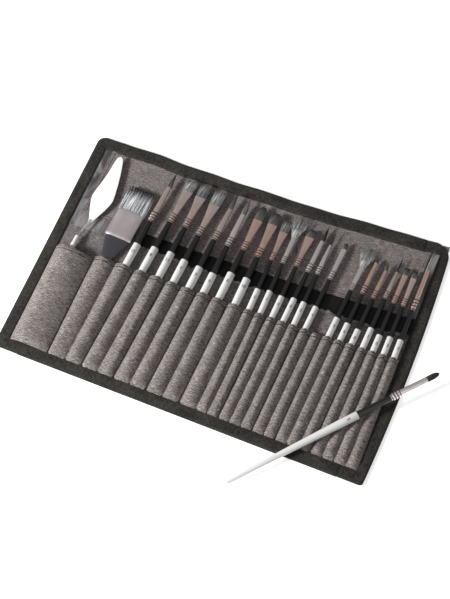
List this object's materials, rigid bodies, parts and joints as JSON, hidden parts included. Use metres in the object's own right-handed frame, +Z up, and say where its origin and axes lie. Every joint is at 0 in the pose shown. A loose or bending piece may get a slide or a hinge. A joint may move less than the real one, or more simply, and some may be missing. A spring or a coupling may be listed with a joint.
{
  "type": "brush roll case",
  "caption": "Open cloth brush roll with bound edges, stitched tool pockets, a tip flap, long-handled brushes, a wash brush and a palette knife.",
  "frame": {"origin": "middle of the flat underside of the open case", "axes": "+X along the case's width towards the folding root at its right edge, +Y from the pockets' closed bottoms to the tools' tips, +Z up out of the case"},
  "size_m": [0.6059, 0.4271, 0.0223],
  "materials": {
    "heather_cloth": "matt heather weave",
    "back_canvas": "matt woven canvas",
    "binding_tape": "matt ribbed tape",
    "pearl_lacquer": "pearl lacquered wood",
    "black_lacquer": "gloss black lacquered wood",
    "steel": "polished spring steel",
    "ferrule": "rose tinted plated metal",
    "bristles": "synthetic hair"
  },
  "bodies": {
    "strip_10": {"back_panel_10": "back_canvas", "pocket_cloth_10": "heather_cloth", "tip_flap_10": "heather_cloth", "binding_right": "binding_tape"},
    "strip_01": {"back_panel_01": "back_canvas", "pocket_cloth_01": "heather_cloth", "tip_flap_01": "heather_cloth", "binding_left": "binding_tape"},
    "strip_02": {"back_panel_02": "back_canvas", "pocket_cloth_02": "heather_cloth", "tip_flap_02": "heather_cloth"},
    "strip_03": {"back_panel_03": "back_canvas", "pocket_cloth_03": "heather_cloth", "tip_flap_03": "heather_cloth"},
    "strip_04": {"back_panel_04": "back_canvas", "pocket_cloth_04": "heather_cloth", "tip_flap_04": "heather_cloth"},
    "strip_05": {"back_panel_05": "back_canvas", "pocket_cloth_05": "heather_cloth", "tip_flap_05": "heather_cloth"},
    "strip_06": {"back_panel_06": "back_canvas", "pocket_cloth_06": "heather_cloth", "tip_flap_06": "heather_cloth"},
    "strip_07": {"back_panel_07": "back_canvas", "pocket_cloth_07": "heather_cloth", "tip_flap_07": "heather_cloth"},
    "strip_08": {"back_panel_08": "back_canvas", "pocket_cloth_08": "heather_cloth", "tip_flap_08": "heather_cloth"},
    "strip_09": {"back_panel_09": "back_canvas", "pocket_cloth_09": "heather_cloth", "tip_flap_09": "heather_cloth"},
    "palette_knife": {"palette_knife_handle": "pearl_lacquer", "palette_knife_blade": "steel"},
    "wash_brush": {"wash_brush_handle": "black_lacquer", "wash_brush_ferrule": "ferrule", "wash_brush_bristles": "bristles"},
    "brush_round_large": {"brush_round_large": "pearl_lacquer"},
    "brush_flat_large": {"brush_flat_large": "pearl_lacquer"},
    "brush_filbert_large": {"brush_filbert_large": "pearl_lacquer"},
    "brush_flat_wide": {"brush_flat_wide": "pearl_lacquer"},
    "brush_round_medium": {"brush_round_medium": "pearl_lacquer"},
    "brush_round_soft": {"brush_round_soft": "pearl_lacquer"},
    "brush_filbert_medium": {"brush_filbert_medium": "pearl_lacquer"},
    "brush_angled_flat": {"brush_angled_flat": "pearl_lacquer"},
    "brush_flat_small": {"brush_flat_small": "pearl_lacquer"},
    "brush_fan_large": {"brush_fan_large": "pearl_lacquer"},
    "brush_filbert_small": {"brush_filbert_small": "pearl_lacquer"},
    "brush_round_long": {"brush_round_long": "pearl_lacquer"},
    "brush_liner_medium": {"brush_liner_medium": "pearl_lacquer"},
    "brush_round_small": {"brush_round_small": "pearl_lacquer"},
    "brush_fan_small": {"brush_fan_small": "pearl_lacquer"},
    "brush_round_short": {"brush_round_short": "pearl_lacquer"},
    "brush_round_fine": {"brush_round_fine": "pearl_lacquer"},
    "brush_liner_long": {"brush_liner_long": "pearl_lacquer"},
    "brush_flat_fine": {"brush_flat_fine": "pearl_lacquer"},
    "brush_filbert_fine": {"brush_filbert_fine": "pearl_lacquer"},
    "brush_dagger": {"brush_dagger": "pearl_lacquer"},
    "loose_brush": {"loose_brush_handle": "pearl_lacquer", "loose_brush_head": "ferrule"}
  },
  "joints": [
    {"name": "fold_9", "type": "hinge", "parent": "strip_10", "child": "strip_09", "pos_m": [0.20766, 0, 0.002], "axis": [0.0406, 0.9992, 0], "range_deg": [0, 45]},
    {"name": "fold_8", "type": "hinge", "parent": "strip_09", "child": "strip_08", "pos_m": [0.15756, 0, 0.002], "axis": [0.0406, 0.9992, 0], "range_deg": [0, 45]},
    {"name": "fold_7", "type": "hinge", "parent": "strip_08", "child": "strip_07", "pos_m": [0.12416, 0, 0.002], "axis": [0.0406, 0.9992, 0], "range_deg": [0, 49.5]},
    {"name": "fold_6", "type": "hinge", "parent": "strip_07", "child": "strip_06", "pos_m": [0.07406, 0, 0.002], "axis": [0.0406, 0.9992, 0], "range_deg": [0, 41.5]},
    {"name": "fold_5", "type": "hinge", "parent": "strip_06", "child": "strip_05", "pos_m": [0.01523, 0, 0.002], "axis": [0.041, 0.9992, 0], "range_deg": [0, 38.5]},
    {"name": "fold_4", "type": "hinge", "parent": "strip_05", "child": "strip_04", "pos_m": [-0.03345, 0, 0.002], "axis": [0.0551, 0.9985, 0], "range_deg": [0, 39.5]},
    {"name": "fold_3", "type": "hinge", "parent": "strip_04", "child": "strip_03", "pos_m": [-0.08274, 0, 0.002], "axis": [0.0655, 0.9979, 0], "range_deg": [0, 50]},
    {"name": "fold_2", "type": "hinge", "parent": "strip_03", "child": "strip_02", "pos_m": [-0.13374, 0, 0.002], "axis": [0.0655, 0.9979, 0], "range_deg": [0, 41]},
    {"name": "fold_1", "type": "hinge", "parent": "strip_02", "child": "strip_01", "pos_m": [-0.199, 0, 0.002], "axis": [0, 1, 0], "range_deg": [0, 35]},
    {"name": "draw_palette_knife", "type": "slide", "parent": "strip_01", "child": "palette_knife", "axis": [0.0208, 0.9998, 0.0052], "range_m": [0, 0.17]},
    {"name": "draw_wash_brush", "type": "slide", "parent": "strip_02", "child": "wash_brush", "axis": [0.0582, 0.9982, 0.0149], "range_m": [0, 0.17]},
    {"name": "draw_brush_round_large", "type": "slide", "parent": "strip_02", "child": "brush_round_large", "axis": [0.07, 0.9974, 0.0188], "range_m": [0, 0.17]},
    {"name": "draw_brush_flat_large", "type": "slide", "parent": "strip_03", "child": "brush_flat_large", "axis": [0.0844, 0.9963, 0.0188], "range_m": [0, 0.17]},
    {"name": "draw_brush_filbert_large", "type": "slide", "parent": "strip_03", "child": "brush_filbert_large", "axis": [0.0542, 0.9984, 0.0188], "range_m": [0, 0.17]},
    {"name": "draw_brush_flat_wide", "type": "slide", "parent": "strip_04", "child": "brush_flat_wide", "axis": [0.0612, 0.9979, 0.0188], "range_m": [0, 0.17]},
    {"name": "draw_brush_round_medium", "type": "slide", "parent": "strip_04", "child": "brush_round_medium", "axis": [0.063, 0.9978, 0.0188], "range_m": [0, 0.17]},
    {"name": "draw_brush_round_soft", "type": "slide", "parent": "strip_05", "child": "brush_round_soft", "axis": [0.0499, 0.9986, 0.0188], "range_m": [0, 0.17]},
    {"name": "draw_brush_filbert_medium", "type": "slide", "parent": "strip_05", "child": "brush_filbert_medium", "axis": [0.0509, 0.9985, 0.0188], "range_m": [0, 0.17]},
    {"name": "draw_brush_angled_flat", "type": "slide", "parent": "strip_06", "child": "brush_angled_flat", "axis": [0.0297, 0.9994, 0.0188], "range_m": [0, 0.17]},
    {"name": "draw_brush_flat_small", "type": "slide", "parent": "strip_06", "child": "brush_flat_small", "axis": [0.0131, 0.9999, 0.0091], "range_m": [0, 0.17]},
    {"name": "draw_brush_fan_large", "type": "slide", "parent": "strip_06", "child": "brush_fan_large", "axis": [0.015, 0.9998, 0.0091], "range_m": [0, 0.17]},
    {"name": "draw_brush_filbert_small", "type": "slide", "parent": "strip_07", "child": "brush_filbert_small", "axis": [0.041, 0.9991, 0.0091], "range_m": [0, 0.17]},
    {"name": "draw_brush_round_long", "type": "slide", "parent": "strip_07", "child": "brush_round_long", "axis": [0.0569, 0.9983, 0.0091], "range_m": [0, 0.17]},
    {"name": "draw_brush_liner_medium", "type": "slide", "parent": "strip_07", "child": "brush_liner_medium", "axis": [0.0355, 0.9993, 0.0091], "range_m": [0, 0.17]},
    {"name": "draw_brush_round_small", "type": "slide", "parent": "strip_08", "child": "brush_round_small", "axis": [0.0615, 0.9981, 0.0091], "range_m": [0, 0.17]},
    {"name": "draw_brush_fan_small", "type": "slide", "parent": "strip_09", "child": "brush_fan_small", "axis": [0.0653, 0.9978, 0.0091], "range_m": [0, 0.17]},
    {"name": "draw_brush_round_short", "type": "slide", "parent": "strip_09", "child": "brush_round_short", "axis": [0.0604, 0.9981, 0.0091], "range_m": [0, 0.17]},
    {"name": "draw_brush_round_fine", "type": "slide", "parent": "strip_09", "child": "brush_round_fine", "axis": [0.0585, 0.9982, 0.0091], "range_m": [0, 0.17]},
    {"name": "draw_brush_liner_long", "type": "slide", "parent": "strip_10", "child": "brush_liner_long", "axis": [0.0489, 0.9988, 0.0091], "range_m": [0, 0.17]},
    {"name": "draw_brush_flat_fine", "type": "slide", "parent": "strip_10", "child": "brush_flat_fine", "axis": [0.0289, 0.9995, 0.0091], "range_m": [0, 0.17]},
    {"name": "draw_brush_filbert_fine", "type": "slide", "parent": "strip_10", "child": "brush_filbert_fine", "axis": [0.0097, 0.9999, 0.0091], "range_m": [0, 0.17]},
    {"name": "draw_brush_dagger", "type": "slide", "parent": "strip_10", "child": "brush_dagger", "axis": [0.0047, 0.9999, 0.0091], "range_m": [0, 0.17]},
    {"name": "lift_loose_brush", "type": "slide", "parent": "strip_10", "child": "loose_brush", "axis": [0, -0.95, 0.3122], "range_m": [0, 0.25]}
  ],
  "couplings": [
    {"joint": "fold_8", "follows": "fold_9", "ratio": 1},
    {"joint": "fold_7", "follows": "fold_9", "ratio": 1.1},
    {"joint": "fold_6", "follows": "fold_9", "ratio": 0.92222},
    {"joint": "fold_5", "follows": "fold_9", "ratio": 0.85556},
    {"joint": "fold_4", "follows": "fold_9", "ratio": 0.87778},
    {"joint": "fold_3", "follows": "fold_9", "ratio": 1.1111},
    {"joint": "fold_2", "follows": "fold_9", "ratio": 0.91111},
    {"joint": "fold_1", "follows": "fold_9", "ratio": 0.77778},
    {"joint": "lift_loose_brush", "follows": "fold_9", "m_per_rad": 0.318}
  ]
}
